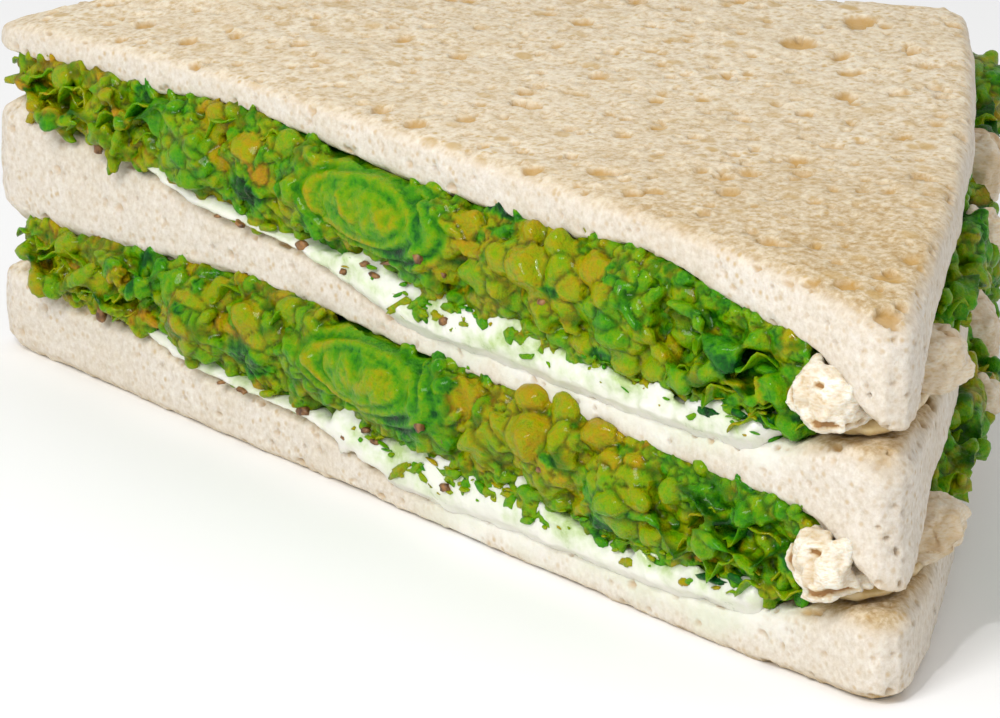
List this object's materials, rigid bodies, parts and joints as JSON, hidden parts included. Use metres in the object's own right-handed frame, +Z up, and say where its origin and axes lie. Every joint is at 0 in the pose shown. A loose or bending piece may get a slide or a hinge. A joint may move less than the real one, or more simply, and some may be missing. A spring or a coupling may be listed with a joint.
{
  "type": "chicken and avocado sandwich",
  "caption": "Crustless double-decker sandwich cut corner to corner, with crushed avocado, leaf, mayonnaise and chicken showing at its sides.",
  "frame": {"origin": "middle of the wedge's length and depth, on its flat underside", "axes": "+X along the long cut face towards the near tip, +Y from the cut face towards the square back corner, +Z up"},
  "size_m": [0.1379, 0.0808, 0.0407],
  "materials": {
    "bread": "matte, finely pored white crumb with a tan face",
    "avocado_greens": "moist, glossy, yellow-green to dark green",
    "mayonnaise": "glossy, smooth, tinted green",
    "chicken": "satin, fibrous, with browned edges"
  },
  "bodies": {
    "root": {"bread_top": "bread", "bread_middle": "bread", "bread_bottom": "bread", "mayonnaise_upper": "mayonnaise", "greens_upper": "avocado_greens", "chicken_upper_near": "chicken", "chicken_upper_right_back": "chicken", "chicken_upper_right_strip": "chicken", "chicken_upper_right_front": "chicken", "chicken_upper_left_back": "chicken", "chicken_upper_left_front": "chicken", "mayonnaise_lower": "mayonnaise", "greens_lower": "avocado_greens", "chicken_lower_near": "chicken", "chicken_lower_right_back": "chicken", "chicken_lower_right_strip": "chicken", "chicken_lower_right_front": "chicken", "chicken_lower_left_back": "chicken", "chicken_lower_left_front": "chicken"}
  },
  "joints": []
}
